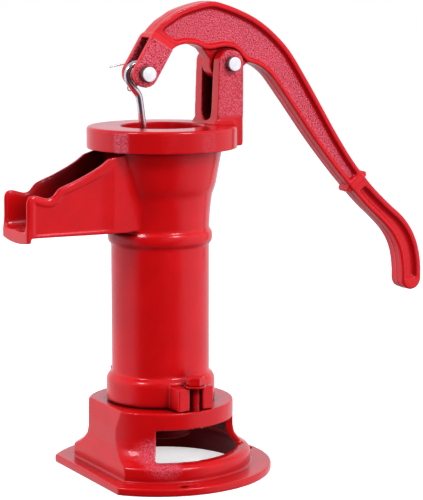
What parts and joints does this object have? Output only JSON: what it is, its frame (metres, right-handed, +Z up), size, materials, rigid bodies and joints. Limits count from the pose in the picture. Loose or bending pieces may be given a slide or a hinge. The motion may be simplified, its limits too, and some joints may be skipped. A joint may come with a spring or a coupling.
{
  "type": "hand well pump",
  "caption": "Cast-iron pitcher pump with a lever handle, slotted cap post, open spout, bored cylinder with a leather-cupped plunger, and a flanged base with a foot valve.",
  "frame": {"origin": "centre of the bounding box in X and Y, on the floor under the flange", "axes": "+Z up along the bore, +X from the bore towards the handle's grip, -X towards the spout, the handle swings in the XZ plane"},
  "size_m": [0.4198, 0.2006, 0.4222],
  "materials": {
    "red_enamel_base": "glossy red enamel over cast iron, small ripples and a fine grain",
    "red_enamel_body": "glossy red enamel over cast iron, smooth with soft ripples",
    "red_enamel_cap": "glossy red enamel over cast iron, grainy on the post",
    "red_enamel_handle": "glossy red enamel over grainy cast iron, deeper red in the recesses",
    "red_enamel_bolt": "red enamel brushed over the fasteners",
    "zinc_steel": "bright zinc-plated steel",
    "bare_iron": "bare machined and cast iron",
    "oiled_leather": "dark oiled leather"
  },
  "bodies": {
    "root": {"base_foot": "red_enamel_base", "pump_body": "red_enamel_body", "base_leather": "oiled_leather", "base_bolt_1": "red_enamel_bolt", "base_bolt_2": "red_enamel_bolt", "base_washer_1": "red_enamel_bolt", "base_washer_2": "red_enamel_bolt"},
    "cap": {"pump_cap": "red_enamel_cap", "cap_set_screw": "zinc_steel", "handle_pin": "zinc_steel", "handle_pin_cotter": "zinc_steel"},
    "handle": {"handle": "red_enamel_handle", "rod_pin": "zinc_steel", "rod_pin_cotter": "zinc_steel"},
    "rod": {"piston_rod": "zinc_steel", "rod_jam_nut": "zinc_steel", "rod_foot_washer": "zinc_steel", "rod_foot_nut": "zinc_steel"},
    "plunger": {"plunger_cage": "bare_iron", "cup_leather": "oiled_leather", "plunger_follower": "bare_iron"},
    "poppet": {"poppet_valve": "bare_iron"},
    "foot_flap": {"foot_valve_flap": "oiled_leather", "foot_valve_weight": "bare_iron", "foot_valve_screw": "zinc_steel"}
  },
  "joints": [
    {"name": "cap_swivel", "type": "hinge", "parent": "root", "child": "cap", "pos_m": [-0.0687, 0, 0.3], "axis": [0, 0, 1], "range_deg": [-180, 180]},
    {"name": "handle_pivot", "type": "hinge", "parent": "cap", "child": "handle", "pos_m": [-0.0075, 0, 0.367], "axis": [0, -1, 0], "range_deg": [0, 45]},
    {"name": "rod_swing", "type": "hinge", "parent": "handle", "child": "rod", "pos_m": [-0.0881, 0, 0.3597], "axis": [0, -1, 0], "range_deg": [-53.6, 0]},
    {"name": "plunger_slide", "type": "slide", "parent": "cap", "child": "plunger", "axis": [0, 0, -1], "range_m": [0, 0.058]},
    {"name": "poppet_lift", "type": "slide", "parent": "plunger", "child": "poppet", "axis": [0, 0, 1], "range_m": [0, 0.008]},
    {"name": "foot_valve_hinge", "type": "hinge", "parent": "root", "child": "foot_flap", "pos_m": [-0.0936, 0, 0.0657], "axis": [0, -1, 0], "range_deg": [0, 14]}
  ],
  "couplings": [
    {"joint": "rod_swing", "follows": "handle_pivot", "ratio": -1.1881},
    {"joint": "plunger_slide", "follows": "handle_pivot", "m_per_rad": 0.07368}
  ]
}
